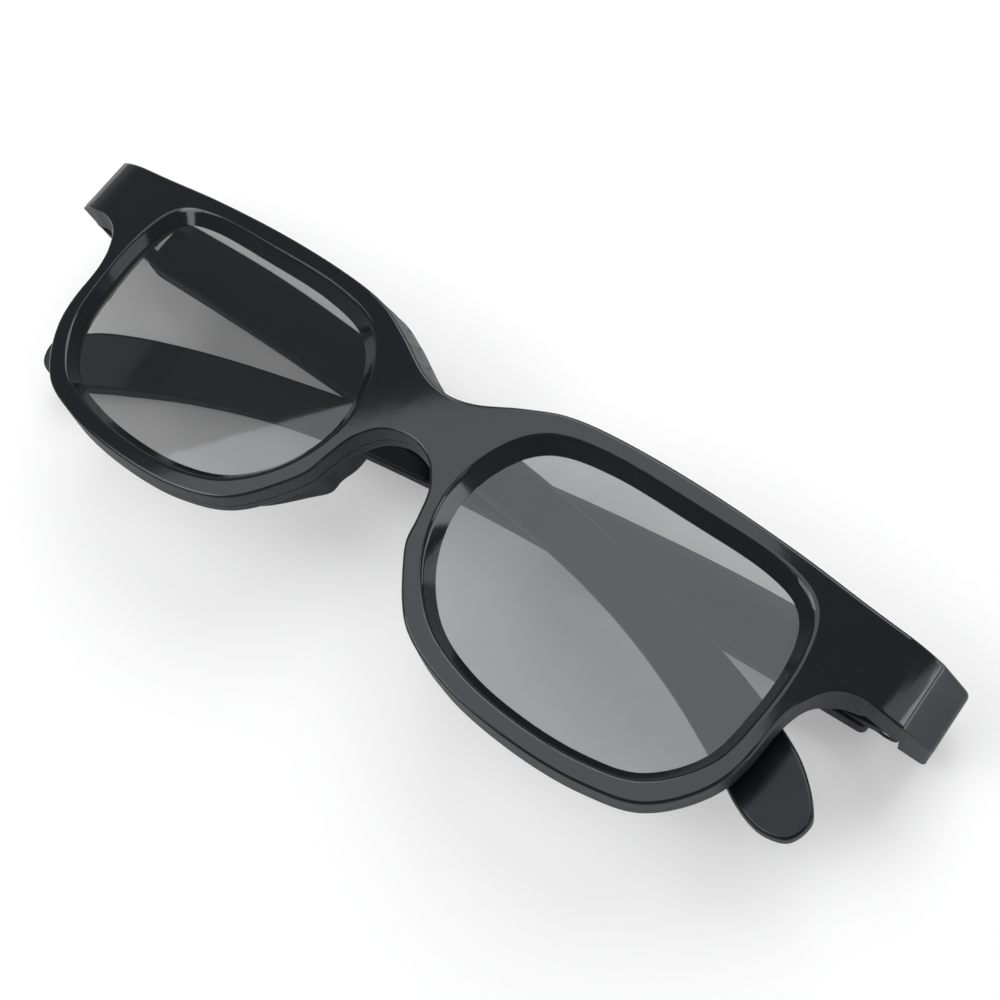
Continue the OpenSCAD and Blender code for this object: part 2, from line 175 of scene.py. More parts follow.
def clockwise(loop):
    area = sum(a.x*b.y - b.x*a.y for a, b in zip(loop, loop[1:] + loop[:1]))
    return loop if area < 0 else loop[::-1]


def normals(loop):
    """Outward normals of a clockwise loop."""
    out = []
    for i in range(len(loop)):
        t = (loop[(i + 1) % len(loop)] - loop[i - 1]).normalized()
        out.append(Vector((-t.y, t.x)))
    return out


def inset(loop, d):
    return [p - n*d for p, n in zip(loop, normals(loop))]


def clip_x(loop, limit):
    """The part of a loop within +-limit of the middle."""
    for side in (1, -1):
        out = []
        for i, p in enumerate(loop):
            a = loop[i - 1]
            if (side*a.x > limit) != (side*p.x > limit):
                out.append(a.lerp(p, (side*limit - a.x)/(p.x - a.x)))
            if side*p.x <= limit:
                out.append(p)
        loop = out
    return loop


def fillet(loop, r):
    """Round every sharp corner of a loop, from r before it to r after it."""
    m = len(loop)
    corners = [i for i, p in enumerate(loop) if (p - loop[i - 1]).length > SAME_POINT
               and (p - loop[i - 1]).angle(loop[(i + 1) % m] - p, 0) > radians(FILLET_TURN)]
    dropped, curves = set(), {}
    for i in corners:
        ends = []
        for way in (-1, 1):
            j = i + way
            while (loop[j % m] - loop[i]).length < r:
                dropped.add(j % m)
                j += way
            ends.append(loop[i] + (loop[j % m] - loop[i]).normalized()*r)
        curves[i] = corner_curve(ends[0], loop[i], ends[1], FILLET_STEPS)
    out = []
    for i, p in enumerate(loop):
        if i in curves:
            out += curves[i]
        elif i not in dropped:
            out.append(p)
    return out


def inside(p, loop):
    """Whether a point lies within a loop, by counting the edges to its right."""
    hits = 0
    for i, b in enumerate(loop):
        a = loop[i - 1]
        if (a.y > p.y) != (b.y > p.y) and p.x < a.x + (b.x - a.x)*(p.y - a.y)/(b.y - a.y):
            hits += 1
    return hits % 2 == 1


# Outlines. A lens opening is given in shares of its half width and half height.
LENS_UNIT = vectors([(-1, 0.06), (-0.935, 0.53), (-0.74, 0.86), (-0.38, 0.985), (0.15, 1.0),
    (0.64, 0.985), (0.895, 0.855), (0.99, 0.52), (0.99, 0.02), (0.925, -0.45), (0.71, -0.815),
    (0.42, -0.955), (0.05, -1.0), (-0.33, -0.955), (-0.65, -0.785), (-0.89, -0.42)])
LOW_UNIT = LENS_UNIT[8:]


def lens_curve(grow):
    return closed_curve([Vector((LENS_X + q.x*(LENS_W/2 + grow), MIDDLE_Y + q.y*(LENS_H/2 + grow)))
                         for q in LENS_UNIT])


def wall_curve(grow):
    """Ring of an opening's sloping wall."""
    return [p + BEVEL_SHIFT*clamped(-grow/BEVEL_RUN) for p in lens_curve(grow)]


def wall_depth(x):
    """Depth of the film below the face: the film is flatter than the face."""
    return BEVEL_DEPTH - BEVEL_TILT*(abs(x) - LENS_X)/(LENS_W/2)


def low_rim(q):
    """Point of the lower rim's outline, beside a point of the lens opening."""
    return Vector((LENS_X + q[0]*(LENS_W/2 + (RIM_SIDE if q[0] > 0 else RIM_NOSE)),
                   MIDDLE_Y + q[1]*(LENS_H/2 + RIM_LOW)))


def front_outline():
    brow = vectors([(0, TOP_Y), (NOSE_X*0.6, TOP_Y + RIM_BROW*0.37),
        (NOSE_X*1.4, (TOP_Y + BROW_Y)/2 + RIM_BROW*0.04), (LENS_X*0.49, BROW_Y - RIM_BROW*0.55),
        (LENS_X*0.74, BROW_Y - RIM_BROW*0.12), (LENS_X*1.1, BROW_Y),
        (LENS_X*1.5, BROW_Y - RIM_BROW*0.2),
        (SIDE_X + NOTCH_RUN*0.47, BROW_Y - RIM_BROW*0.61), (END_X, END_Y - RIM_BROW*0.29)])
    notch = vectors([(END_X, NOTCH_Y), (SIDE_X + NOTCH_RUN*1.58, NOTCH_Y + NOTCH_RUN*0.017),
        (SIDE_X + NOTCH_RUN, NOTCH_Y + NOTCH_RUN*0.033),
        (SIDE_X + NOTCH_RUN*0.52, NOTCH_Y - NOTCH_RUN*0.17),
        (SIDE_X + NOTCH_RUN*0.2, NOTCH_Y - NOTCH_RUN*0.6), low_rim((1, 0.06))])
    arch = vectors([(NOSE_X + RIM_NOSE*0.6, MIDDLE_Y - ARCH_HALF*0.57),
        (ARCH_HALF, MIDDLE_Y + ARCH_HALF*0.07),
        (ARCH_HALF*0.6, MIDDLE_Y + ARCH_TOP*0.75), (0, MIDDLE_Y + ARCH_TOP)])
    rim = notch + [low_rim(q) for q in LOW_UNIT[1:]] + arch
    half = open_curve(brow, first=flip(brow[1])) + open_curve(rim, last=flip(rim[-2]))
    loop = half + [flip(p) for p in half[-2:0:-1]]
    return [p + n*swell(p, n) for p, n in zip(loop, normals(loop))]


def swell(p, n):
    """Growth of the lower rim beside the nose and low at the side."""
    if abs(p.x) < ARCH_HALF or n.y > BROW_FACING:
        return 0
    out = n.x if p.x > 0 else -n.x
    most, start = (NOSE_SWELL, NOSE_SWELL_UP) if out < 0 else (SIDE_SWELL, SIDE_SWELL_UP)
    return most*share_of(abs(out), SWELL_FACING)*share_of(MIDDLE_Y + start - p.y, SWELL_RUN)


def flare(p, n):
    """Growth of the outline from the face to the back."""
    past_notch = abs(p.x) - NOTCH_X
    if past_notch > 0 and n.y < BROW_FACING:
        most = FLARE_LOW + (FLARE_NOTCH - FLARE_LOW)*share_of(past_notch, NOTCH_FADE)
        return most*share_of(-n.y, SLOPE_FACING)
    if past_notch > 0:
        return FLARE_BROW
    if n.y > BROW_FACING:
        slope = share_of(-n.x if p.x > 0 else n.x, SLOPE_FACING)
        return FLARE_BROW + (FLARE_SLOPE - FLARE_BROW)*slope
    in_arch = p.y > MIDDLE_Y and abs(p.x) < ARCH_HALF
    return FLARE_BROW if in_arch else FLARE_LOW - swell(p, n)/2


def drafted(loop, share):
    """Outline part of the way from the face to the back. Its ends stay where they are."""
    limit = max(p.x for p in loop)
    grown = [p + n*flare(p, n)*share for p, n in zip(loop, normals(loop))]
    return [Vector((min(max(p.x, -limit), limit), p.y)) for p in grown]


def arm_outline():
    # Shares of the length and of the drop, and the height there
    stations = [(0, 0, ARM_H), (0.17, 0.018, ARM_H*1.03), (0.32, 0.075, ARM_H*0.96),
        (0.47, 0.16, ARM_H*0.4 + ARM_WAIST*0.55), (0.62, 0.271, ARM_WAIST),
        (0.725, 0.397, ARM_WAIST*1.01), (0.82, 0.566, ARM_WAIST*0.55 + ARM_PADDLE*0.45),
        (0.9, 0.76, ARM_PADDLE)]
    # Back from the tip and up, in shares of the paddle's height
    tip = [(0.62, 0.72), (0.265, 0.45), (0.03, 0.17), (0, -0.02), (0.09, -0.23), (0.265, -0.32),
           (0.52, -0.33), (0.86, -0.21)]
    upper = vectors([(BUTT_GAP + s*ARM_L, h/2 - d*ARM_DROP) for s, d, h in stations])
    lower = vectors([(BUTT_GAP + s*ARM_L, -h/2 - d*ARM_DROP) for s, d, h in stations])
    end = vectors([(BUTT_GAP + ARM_L - back*ARM_PADDLE, up*ARM_PADDLE - ARM_DROP) for back, up in tip])
    return fillet(open_curve(upper + end + lower[::-1], n=ARM_STEPS), BUTT_CORNER)


# Heights of faces
def wrap_z(x):
    return FRONT_Z + (sqrt(WRAP_R**2 - x*x) - WRAP_R)


SHOULDER_FROM = asin(SHOULDER_X/WRAP_R)


def shoulder_z(x):
    a = asin(sin(SHOULDER_FROM) + (x - SHOULDER_X)/SHOULDER_R)
    return wrap_z(SHOULDER_X) - SHOULDER_R*(cos(SHOULDER_FROM) - cos(a))


CORNER_Z = shoulder_z(CORNER_X)


def sharp_face_z(x):
    if x < SHOULDER_X:
        return wrap_z(x)
    if x < CORNER_X:
        return shoulder_z(x)
    return CORNER_Z - (x - CORNER_X)*FACET_DEPTH/FACET_RUN


def face_z(x):
    """Front face, with the corner before the facet rounded a little."""
    x = abs(x)
    if abs(x - CORNER_X) >= CORNER_EDGE:
        return sharp_face_z(x)
    before, after = sharp_face_z(CORNER_X - CORNER_EDGE), sharp_face_z(CORNER_X + CORNER_EDGE)
    t = (x - CORNER_X + CORNER_EDGE)/(2*CORNER_EDGE)
    a = before + t*(CORNER_Z - before)
    b = CORNER_Z + t*(after - CORNER_Z)
    return a + (b - a)*t


def path_value(points, x):
    """Height of a polyline, given as points with rising x."""
    for (x0, z0), (x1, z1) in zip(points, points[1:]):
        if x <= x1:
            return z0 + (z1 - z0)*(x - x0)/(x1 - x0)
    return points[-1][1]


PLATE_Z = wrap_z(PLATE_X) - TOTAL_T
END_UNDER = [(PLATE_X, PLATE_Z), (CORNER_X - FACET_RUN*0.8, PLATE_Z - FACET_DEPTH*0.15),
             (RETURN_X - STEP_W, CORNER_Z - FACET_DEPTH*1.26), (RETURN_X, RETURN_Z)]


def under_z(x):
    """Back of the front moulding, with the step at the plate and the return at the hinge."""
    x = abs(x)
    if x < PLATE_X - STEP_W:
        return wrap_z(x) - FRONT_T
    if x < PLATE_X:
        return wrap_z(x) - FRONT_T - (TOTAL_T - FRONT_T)*(x - PLATE_X + STEP_W)/STEP_W
    return path_value(END_UNDER, x)


def film_z(x):
    return wrap_z(x) - wall_depth(x) - SEAM


def bowed(r, x, flat):
    """Height of an arm's face: flat, then curved in towards the head."""
    run = x - BUTT_GAP - BOW_START
    return flat if run < 0 else flat + r - sqrt(r*r - run*run)


def inner_z(x):
    thinned = share_of(x - BUTT_GAP - ARM_T, ARM_TAPER - ARM_T)
    return bowed(BOW_R - ARM_THIN, x, -PIVOT_INSET - (ARM_T - ARM_THIN)*thinned)


def outer_z(x):
    return bowed(BOW_R, x, -PIVOT_INSET - ARM_T)


# Meshes
def band(bm, upper, lower):
    """Faces between two rings of vertices."""
    m = len(upper)
    return [bm.faces.new((upper[i], upper[(i + 1) % m], lower[(i + 1) % m], lower[i]))
            for i in range(m)]


def cap(bm, rings):
    """Faces within the first ring and outside the others."""
    verts = [v for ring in rings for v in ring]
    edges, start = [], 0
    for ring in rings:
        m = len(ring)
        edges += [(start + i, start + (i + 1) % m) for i in range(m)]
        start += m
    _, _, triangles, origin, _, _ = delaunay_2d_cdt(
        [v.co.xy for v in verts], edges, [], INSIDE_WITH_HOLES, SAME_POINT)
    holes = [[v.co.xy for v in ring] for ring in rings[1:]]
    made = []
    for triangle in triangles:
        corners = [verts[origin[i][0]] for i in triangle]
        middle = sum((v.co.xy for v in corners), Vector((0, 0)))/len(corners)
        if not any(inside(middle, hole) for hole in holes):
            made.append(bm.faces.new(corners))
    return made


def divided(bm, faces, x):
    """The same faces, cut where they cross a plane at x."""
    near = [f for f in faces if min(v.co.x for v in f.verts) < x < max(v.co.x for v in f.verts)]
    parts = [*near, *[e for f in near for e in f.edges], *[v for f in near for v in f.verts]]
    cut = bmesh.ops.bisect_plane(bm, geom=list(dict.fromkeys(parts)), dist=ON_PLANE,
                                 plane_co=(x, 0, 0), plane_no=(1, 0, 0))
    found = faces + [g for g in cut["geom"] if isinstance(g, bmesh.types.BMFace)]
    return list(dict.fromkeys(f for f in found if f.is_valid))


def slab(walls, cuts, place, bm):
    """Closed solid between a top and a bottom face. Each wall is a list of rings of (x, y, z),
    from the top face down; z is taken from the top face, or from -LAYER at the bottom face.
    The first wall is the outline, the others are holes. cuts are the x where faces are divided,
    and place gives each point its place in the end."""
    verts = [[[bm.verts.new(p) for p in ring] for ring in wall] for wall in walls]
    made = []
    for wall in verts:
        for upper, lower in zip(wall, wall[1:]):
            made += band(bm, upper, lower)
    for end in (0, -1):
        made += cap(bm, [wall[end] for wall in verts])
    for x in cuts:
        made = divided(bm, made, x)
    for v in {v for f in made for v in f.verts}:
        v.co = place(v.co)


def loft(rings, bm):
    """Closed solid through a row of rings."""
    verts = [[bm.verts.new(p) for p in ring] for ring in rings]
    for upper, lower in zip(verts, verts[1:]):
        band(bm, upper, lower)
    bm.faces.new(verts[0])
    bm.faces.new(verts[-1][::-1])


def ring_at(loop, z):
    return [Vector((p.x, p.y, z)) for p in loop]


def rounded(loop, r, bottom=False):
    """Rings of an outline's rounded edge, from the flat face to the wall or from wall to face."""
    steps = [(r + SUPPORT, 0)] + [(r*(1 - sin(a)), r*(1 - cos(a)))
                                  for a in (0, pi/6, pi/3, pi/2)] + [(0, r + SUPPORT)]
    if not bottom:
        return [ring_at(inset(loop, d), -z) for d, z in steps]
    return [ring_at(inset(loop, d), z - LAYER) for d, z in reversed(steps)]


def between(top, bottom):
    """Place function for a slab between two height functions of x."""
    def place(v):
        if v.z > -FACE_BAND:
            z = top(v.x) + v.z
        elif v.z < FACE_BAND - LAYER:
            z = bottom(v.x) + v.z + LAYER
        else:
            z = top(v.x) + (top(v.x) - bottom(v.x))*v.z/LAYER
        return Vector((v.x, v.y, z))
    return place


def strips(limit, step):
    n = int(limit/step)
    return [i*step for i in range(-n, n + 1)]


def both(values):
    return [s*v for s in (-1, 1) for v in values]


def add_piece(name, bm, body, nodes, material):
    bmesh.ops.remove_doubles(bm, verts=bm.verts, dist=WELD)
    bmesh.ops.recalc_face_normals(bm, faces=bm.faces)
    bmesh.ops.scale(bm, vec=(MM, MM, MM), verts=bm.verts)
    mesh = bpy.data.meshes.new(name)
    bm.to_mesh(mesh)
    bm.free()
    mesh.shade_smooth()
    mesh.set_sharp_from_angle(angle=radians(SHARP_ANGLE))
    mesh.materials.append(material)
    obj = bpy.data.objects.new(name, mesh)
    bpy.context.scene.collection.objects.link(obj)
    weighted = obj.modifiers.new("normals", "WEIGHTED_NORMAL")
    weighted.keep_sharp = True
    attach(obj, body)
    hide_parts(*nodes)


# Materials. Sizes of features are in millimetres.
SHEEN_TINT = (0.88, 0.92, 1, 1)
PLASTIC_IOR, FILM_IOR = 1.5, 1.6
NOISE_LOW, NOISE_HIGH = 0.3, 0.7       # nearly all of a noise lies between these
GLOSS_PATCH, GLOSS_LOW, GLOSS_HIGH = 3, 0.8, 1.25
GRAIN_SIZE, GRAIN_DEPTH = 0.35, 0.02
SPECK_CELL, SPECK_CORE, SPECK_EDGE, SPECK_TONE = 1.6, 0.03, 0.06, 4
WALL_ROUGH, WALL_STEEP, WALL_FLAT = 0.6, 0.25, 0.55    # the drafted side walls aren't polished


def new_material(name):
    mat = bpy.data.materials.new(name)
    mat.use_nodes = True
    return mat, mat.node_tree, mat.node_tree.nodes["Principled BSDF"]


def feed(tree, node, inputs):
    """Give a node's inputs, by name or number, plain values or links to other sockets."""
    for key, value in inputs.items():
        if isinstance(value, bpy.types.NodeSocket):
            tree.links.new(value, node.inputs[key])
        else:
            node.inputs[key].default_value = value


def add_node(tree, kind, inputs=None, **settings):
    node = tree.nodes.new("ShaderNode" + kind)
    for name, value in settings.items():
        setattr(node, name, value)
    feed(tree, node, inputs or {})
    return node


def computed(tree, operation, *values):
    """Result of a maths node on sockets or plain numbers."""
    return add_node(tree, "Math", dict(enumerate(values)), operation=operation).outputs[0]


def mapped(tree, value, low, high, start=NOISE_LOW, end=NOISE_HIGH):
    """low where a value is at start, high where it is at end, and in proportion between."""
    node = add_node(tree, "MapRange", {"Value": value, "From Min": start, "From Max": end,
                                       "To Min": low, "To Max": high})
    return node.outputs["Result"]


def noise(tree, size, detail):
    """Noise of a given feature size, in the part's own coordinates."""
    coords = add_node(tree, "TexCoord")
    texture = add_node(tree, "TexNoise", {"Vector": coords.outputs["Object"],
                                          "Scale": 1/(size*MM), "Detail": detail})
    return texture.outputs["Fac"]


def black_plastic(name, colour, rough, grain, shine=0.5):
    """Moulded plastic: fine grain, uneven gloss, satin side walls and a few specks of dust."""
    mat, tree, bsdf = new_material(name)
    coords = add_node(tree, "TexCoord")
    specks = add_node(tree, "TexVoronoi", {"Vector": coords.outputs["Object"],
                                           "Scale": 1/(SPECK_CELL*MM)})
    dust = mapped(tree, specks.outputs["Distance"], low=1, high=0, start=SPECK_CORE, end=SPECK_EDGE)
    tone = add_node(tree, "Mix", {"Factor": dust, "A": (*colour, 1),
                                  "B": (*[SPECK_TONE*c for c in colour], 1)}, data_type="RGBA")
    split = add_node(tree, "SeparateXYZ", {"Vector": coords.outputs["Normal"]})
    level = computed(tree, "ABSOLUTE", split.outputs["Z"])
    satin = mapped(tree, level, low=WALL_ROUGH, high=0, start=WALL_STEEP, end=WALL_FLAT)
    uneven = mapped(tree, noise(tree, GLOSS_PATCH, detail=4), rough*GLOSS_LOW, rough*GLOSS_HIGH)
    bump = add_node(tree, "Bump", {"Strength": grain, "Distance": GRAIN_DEPTH*MM,
                                   "Height": noise(tree, GRAIN_SIZE, detail=3)})
    feed(tree, bsdf, {"Base Color": tone.outputs["Result"],
                      "Roughness": computed(tree, "MAXIMUM", satin, uneven),
                      "Normal": bump.outputs["Normal"], "IOR": PLASTIC_IOR,
                      "Specular IOR Level": shine, "Specular Tint": SHEEN_TINT})
    return mat


def lens_film():
    """Grey polarising film: see-through, with a slight unevenness in its tint and gloss. A look
    through it is tinted once, where it enters the film."""
    mat, tree, bsdf = new_material("lens_film")
    tint = mapped(tree, noise(tree, size=9, detail=3), low=0.63, high=0.65)
    leaving = add_node(tree, "NewGeometry").outputs["Backfacing"]
    entering = computed(tree, "SUBTRACT", 1, leaving)
    feed(tree, bsdf, {"Base Color": (0.010, 0.0105, 0.010, 1), "IOR": FILM_IOR,
                      "Roughness": mapped(tree, noise(tree, size=6, detail=3), low=0.02, high=0.045),
                      "Alpha": computed(tree, "MULTIPLY", tint, entering),
                      "Specular IOR Level": 0.87, "Specular Tint": SHEEN_TINT})
    return mat


def pin_steel():
    mat, tree, bsdf = new_material("pin_steel")
    feed(tree, bsdf, {"Base Color": (0.55, 0.56, 0.58, 1), "Metallic": 1,
                      "Roughness": mapped(tree, noise(tree, size=0.4, detail=3), low=0.22, high=0.4)})
    return mat


GLOSS = black_plastic("black_gloss", (0.009, 0.0095, 0.0115), rough=0.07, grain=0.07)
ARM = black_plastic("black_arm", (0.0075, 0.008, 0.0095), rough=0.2, grain=0.07, shine=0.27)
REAR = black_plastic("black_rear", (0.008, 0.009, 0.0105), rough=0.26, grain=0.14)
FILM = lens_film()
STEEL = pin_steel()


# Pieces
PIN_HOLE = arc(PIN_BORE, 0, 360 - HOLE_STEP, HOLE_STEP)
PAD_AWAY = Vector((-1, -0.35)).normalized()        # from the rim towards the nose


def pivot_place(side):
    return Matrix.Translation((side*PIVOT.x, PIVOT.y, PIVOT.z))


def knuckle(loop, height, bm, matrix):
    """Plate round a hinge pin, with its outline's edges rounded."""
    walls = [rounded(loop, HINGE_EDGE) + rounded(loop, HINGE_EDGE, True),
             [ring_at(PIN_HOLE, 0), ring_at(PIN_HOLE, -LAYER)]]
    place = between(lambda x: height/2, lambda x: -height/2)
    slab(walls, [], lambda v: matrix @ place(v), bm)


def tongue(bm, side):
    """Middle knuckle of a hinge, on the front."""
    reach = PIVOT_INSET + ARM_T/2
    loop = arc(KNUCKLE_R, 90, 270, KNUCKLE_STEP) + vectors([(reach, -KNUCKLE_R), (reach, KNUCKLE_R)])
    upright = Matrix.Diagonal((side, 1, 1, 1)) @ Matrix.Rotation(pi/2, 4, "X")
    knuckle(clockwise(loop), TONGUE_H, bm, pivot_place(side) @ upright)


def arm_knuckle(bm, y):
    """Knuckle of an arm, with the gusset behind it."""
    root = -PIVOT_INSET - ARM_T/2
    loop = arc(KNUCKLE_R, 90, 315, KNUCKLE_STEP) + vectors([
        (GUSSET_START, -PIVOT_INSET), (GUSSET_START, root),
        (GUSSET_END, root), (GUSSET_END, -PIVOT_INSET)])
    place = Matrix.Translation((0, y, 0)) @ Matrix.Rotation(pi/2, 4, "X")
    knuckle(fillet(clockwise(loop), GUSSET_CORNER), KNUCKLE_H, bm, place)


def opening_wall():
    """Rings of the right opening's sloping wall and of the pocket for the film."""
    edge, flat = OPENING_EDGE/BEVEL_DEPTH, (OPENING_EDGE + SUPPORT)/BEVEL_DEPTH
    # Growth of the opening, and share of the film's depth
    steps = [(OPENING_EDGE + SUPPORT, 0), (OPENING_EDGE, 0), (0.37*OPENING_EDGE, 0.07*edge),
             (-0.1*OPENING_EDGE, 0.28*edge), (-BEVEL_RUN*edge, edge), (-BEVEL_RUN*flat, flat),
             (-BEVEL_RUN*0.92, 0.92), (-BEVEL_RUN, 1)]
    pocket = lens_curve(LENS_LIP - BEVEL_RUN + LENS_PLAY)
    loops = [(wall_curve(grow), share) for grow, share in steps] + [(pocket, 1)]
    rings = [[Vector((p.x, p.y, -share*wall_depth(p.x))) for p in loop] for loop, share in loops]
    return rings + [ring_at(pocket, -LAYER)]


def undercut(p):
    """Rise of an end piece's lower wall towards the return."""
    past = abs(p.x) - UNDERCUT_X
    if past > 0 and p.z < CORNER_Z:
        rise = END_RISE*(CORNER_Z - p.z)/(CORNER_Z - RETURN_Z)
        p.y += rise*clamped((END_Y - p.y)/(END_Y - NOTCH_Y))*min(past/END_FADE, 1)
    return p


def build_front():
    outline = fillet(clip_x(front_outline(), FRONT_W/2), END_CORNER)
    low = drafted(outline, FRONT_T/TOTAL_T)
    walls = [rounded(outline, FACE_EDGE) + rounded(low, SEAM_EDGE, True)]
    walls += [[mirrored(ring, side) for ring in opening_wall()] for side in (1, -1)]
    shoulder = [SHOULDER_X + SHOULDER_STEP*i for i in range(SHOULDER_CUTS + 1)]
    corner = [CORNER_X + CORNER_EDGE*i/CORNER_CUTS for i in range(-CORNER_CUTS, CORNER_CUTS + 1)]
    cuts = strips(PLATE_X - STRIP_MARGIN, STRIP_W) + both(
        [PLATE_X - STEP_W, PLATE_X, *PLATE_CUTS, *shoulder, *corner,
         RETURN_X - STEP_W, RETURN_X + STEP_W/2, *FACET_CUTS])
    place = between(face_z, under_z)
    bm = bmesh.new()
    slab(walls, cuts, lambda v: undercut(place(v)), bm)
    for side in (-1, 1):
        tongue(bm, side)
    add_piece("front_moulding", bm, "front", ["front_frame"], GLOSS)


def pad_sections():
    """Corners of a nose pad's sections, along the nose side of the right rim."""
    # Place on the rim, share of the pad's depth and share of its lean
    stations = [((ARCH_HALF, MIDDLE_Y + PAD_T*0.14), 0.9, 0.4),
        ((ARCH_HALF + PAD_T*0.36, MIDDLE_Y - PAD_T*0.76), 0.97, 0.75),
        ((NOSE_X + RIM_NOSE*0.6, MIDDLE_Y - ARCH_HALF*0.58), 1, 1), (low_rim((-0.955, -0.3)), 1, 1),
        (low_rim(LOW_UNIT[7]), 0.95, 0.8), (low_rim((-0.78, -0.63)), 0.82, 0.3),
        (low_rim(LOW_UNIT[6]), 0.72, 0)]
    sections = []
    for place, deep, leaning in stations:
        a = Vector(place) + PAD_AWAY*FLARE_LOW*0.5
        b = a + PAD_AWAY*PAD_LEAN*leaning
        face = wrap_z(place[0])
        top = face - TOTAL_T + REAR_T*0.6
        low = face - max(PAD_DEPTH*deep, TOTAL_T + CLEAR)
        sections.append(vectors([(a.x, a.y, top), (b.x, b.y, low),
                                 (b.x + PAD_T*0.8, b.y + PAD_T*0.19, low),
                                 (a.x + PAD_T, a.y + PAD_T*0.24, top)]))
    return sections


def pad_rings(side):
    """Rounded sections of one nose pad."""
    tracks = [open_curve(track, n=PAD_STEPS) for track in zip(*pad_sections())]
    rings = []
    for quad in zip(*tracks):
        ring = []
        for k, p in enumerate(quad):
            a, b = quad[k - 1], quad[(k + 1) % len(quad)]
            ring += corner_curve(p + (a - p).normalized()*PAD_CORNER, p,
                                 p + (b - p).normalized()*PAD_CORNER, PAD_CORNER_STEPS)
        rings.append(mirrored(ring, side))
    return rings


def build_rear():
    limit = PLATE_X - SEAM
    upper = fillet(clip_x(drafted(front_outline(), (FRONT_T + SEAM)/TOTAL_T), limit), REAR_CORNER)
    lower = drafted(upper, REAR_T/TOTAL_T)
    walls = [rounded(upper, SEAM_EDGE) + rounded(lower, BACK_EDGE, True)]
    hold = LENS_LIP - BEVEL_RUN - REAR_LIP
    wide = hold + REAR_DRAFT
    steps = [(hold, 0), (hold + REAR_LEAD, -SUPPORT), (wide, REAR_EDGE - LAYER),
             (wide + REAR_EDGE_MIDDLE, REAR_EDGE_MIDDLE - LAYER), (wide + REAR_EDGE, -LAYER)]
    opening = [ring_at(lens_curve(grow), z) for grow, z in steps]
    walls += [[mirrored(ring, side) for ring in opening] for side in (1, -1)]
    place = between(lambda x: wrap_z(x) - FRONT_T - SEAM, lambda x: wrap_z(x) - TOTAL_T)
    bm = bmesh.new()
    slab(walls, strips(limit - STRIP_MARGIN, STRIP_W), place, bm)
    for side in (-1, 1):
        loft(pad_rings(side), bm)
    add_piece("rear_moulding", bm, "front", ["rear_frame"], REAR)


def build_lens(side, name):
    loop = lens_curve(LENS_LIP - BEVEL_RUN)
    wall = [ring_at(loop, 0), ring_at(loop, -LAYER)]
    place = between(film_z, lambda x: film_z(x) - LENS_T)
    bm = bmesh.new()
    slab([wall], strips(LENS_X + LENS_W, FILM_STRIP_W), place, bm)
    bmesh.ops.scale(bm, vec=(side, 1, 1), verts=bm.verts)
    films = [f"{name}_{layer}_film" for layer in ("retarder", "polariser", "backing")]
    add_piece(f"{name}_lens", bm, "front", films, FILM)


def build_arm(side, name):
    loop = arm_outline()
    walls = [rounded(loop, ARM_EDGE) + rounded(loop, ARM_EDGE, True)]
    cuts = [BUTT_GAP + i*ARM_L/ARM_STRIPS for i in range(1, ARM_STRIPS)]
    skew = Matrix.Rotation(radians(-side*ARM_SKEW), 4, "Z")
    place = between(inner_z, outer_z)
    bm = bmesh.new()
    slab(walls, cuts, lambda v: skew @ place(v), bm)
    for up in (-1, 1):
        arm_knuckle(bm, up*(TONGUE_H/2 + CLEAR + KNUCKLE_H/2))
    over, under = Matrix.Rotation(radians(-OVER_FOLD), 4, "Y"), Matrix.Diagonal((-1, 1, 1, 1))
    bm.transform(pivot_place(side) @ (over if side < 0 else under))
    add_piece(f"{name}_temple", bm, f"{name}_arm", [f"{name}_arm"], ARM)


build_front()
build_rear()
for side, name in ((-1, "left"), (1, "right")):
    build_lens(side, name)
    build_arm(side, name)
    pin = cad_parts[f"{name}_hinge_pin"]
    pin.data.materials.clear()
    pin.data.materials.append(STEEL)


# Studio, in metres. The camera is fitted to the photograph, in the frame's own axes.
FOCAL, SENSOR, CLIP_START = 46.8, 36, 0.005        # the first two in millimetres
CAMERA_PLACE = (0.07394, -0.03028, 0.17374)
CAMERA_RIGHT = Vector((0.78398, 0.59768, -0.16777)).normalized()
CAMERA_BACK = Vector((0.35363, -0.20787, 0.912)).normalized()
FLOOR_HALF, FLOOR_Z = 3, -0.0002
FLOOR_COLOUR, FLOOR_ROUGH, FLOOR_SHINE = (0.97, 0.97, 0.97, 1), 0.7, 0.1
FLOOR_WHITE = 0.3      # share of plain white in the floor that is seen, the rest keeps the shadow
HORIZON, OVERHEAD = (0.05, (0.4, 0.4, 0.4, 1)), (0.4, (0.2, 0.2, 0.205, 1))    # height, colour
# Name, place, what it faces, size, brightness, turn in degrees
LAMPS = [("card", (-0.224, -0.037, 0.6), (-0.224, -0.037, 0), (0.695, 0.405), 1.75, 37),
         ("key", (-0.1, 0.7, 0.8), (0, 0, 0), (0.9, 0.6), 3.4, 0),
         ("fill", (-0.47, -0.5, 0.82), (0, 0, 0), (0.6, 0.45), 3.4, 0),
         ("corner_box", (0.826, 0.334, 0.454), (0, 0, 0), (0.35, 0.2), 3.8, 0),
         ("wall_box", (0.73, 0.13, 0.67), (0, 0, 0), (0.3, 0.42), 1.3, 0),
         ("side_box", (0.9, 0.42, 0.11), (0, 0, 0.11), (1.3, 0.21), 3, 0)]


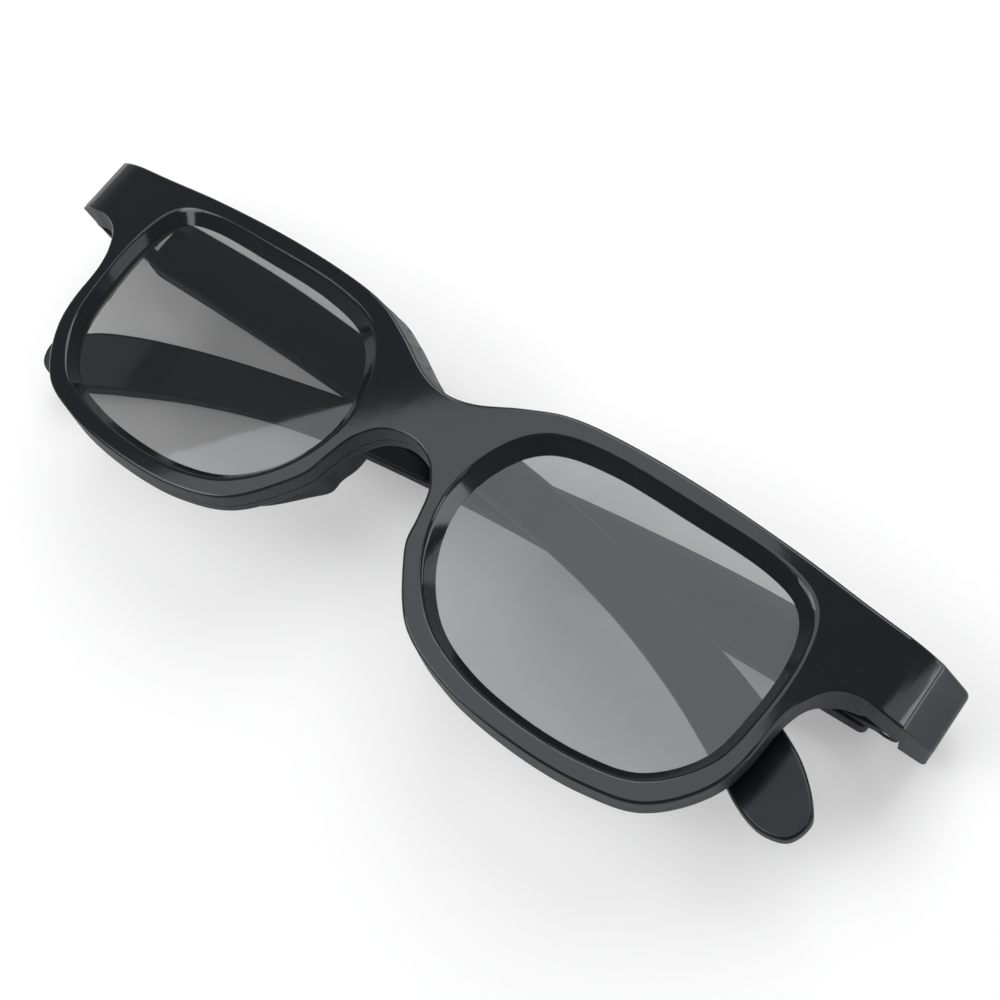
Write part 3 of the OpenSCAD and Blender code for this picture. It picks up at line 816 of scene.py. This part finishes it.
def area_lamp(name, place, target, size, radiance, spin):
    lamp = bpy.data.lights.new(name, "AREA")
    lamp.shape = "RECTANGLE"
    lamp.size, lamp.size_y = size
    lamp.energy = radiance*pi*size[0]*size[1]
    obj = bpy.data.objects.new(name, lamp)
    aim = (Vector(target) - Vector(place)).to_track_quat("-Z", "Y").to_matrix().to_4x4()
    obj.matrix_world = Matrix.Translation(place) @ aim @ Matrix.Rotation(radians(spin), 4, "Z")
    bpy.context.scene.collection.objects.link(obj)


def white_floor():
    mesh = bpy.data.meshes.new("floor")
    bm = bmesh.new()
    bmesh.ops.create_grid(bm, x_segments=1, y_segments=1, size=FLOOR_HALF)
    bm.to_mesh(mesh)
    bm.free()
    floor = bpy.data.objects.new("floor", mesh)
    floor.location.z = FLOOR_Z
    bpy.context.scene.collection.objects.link(floor)
    mat, tree, bsdf = new_material("floor")
    feed(tree, bsdf, {"Base Color": FLOOR_COLOUR, "Roughness": FLOOR_ROUGH,
                      "Specular IOR Level": FLOOR_SHINE})
    path = add_node(tree, "LightPath")
    seen = path.outputs["Is Camera Ray"]
    for kind in ("Is Glossy Ray", "Is Transmission Ray"):
        seen = computed(tree, "MAXIMUM", seen, path.outputs[kind])
    white = add_node(tree, "Emission")
    mix = add_node(tree, "MixShader", {0: computed(tree, "MULTIPLY", seen, FLOOR_WHITE),
                                       1: bsdf.outputs["BSDF"], 2: white.outputs["Emission"]})
    feed(tree, tree.nodes["Material Output"], {"Surface": mix.outputs["Shader"]})
    mesh.materials.append(mat)


def studio_world():
    """Pale towards the horizon, as a white sweep is, and dim overhead."""
    world = bpy.data.worlds.new("studio")
    bpy.context.scene.world = world
    world.use_nodes = True
    tree = world.node_tree
    coords = add_node(tree, "TexCoord")
    split = add_node(tree, "SeparateXYZ", {"Vector": coords.outputs["Generated"]})
    ramp = add_node(tree, "ValToRGB", {"Fac": split.outputs["Z"]})
    for element, (height, colour) in zip(ramp.color_ramp.elements, (HORIZON, OVERHEAD)):
        element.position, element.color = height, colour
    feed(tree, tree.nodes["Background"], {"Color": ramp.outputs["Color"], "Strength": 1})


def photo_camera():
    cam = bpy.data.cameras.new("camera")
    cam.lens, cam.sensor_width, cam.sensor_fit = FOCAL, SENSOR, "HORIZONTAL"
    cam.clip_start = CLIP_START
    obj = bpy.data.objects.new("camera", cam)
    axes = Matrix((CAMERA_RIGHT, CAMERA_BACK.cross(CAMERA_RIGHT), CAMERA_BACK)).transposed()
    obj.matrix_world = Matrix.Translation(CAMERA_PLACE) @ axes.to_4x4()
    bpy.context.scene.collection.objects.link(obj)
    bpy.context.scene.camera = obj


white_floor()
studio_world()
photo_camera()
for lamp in LAMPS:
    area_lamp(*lamp)
bpy.context.scene.view_settings.view_transform = "Standard"
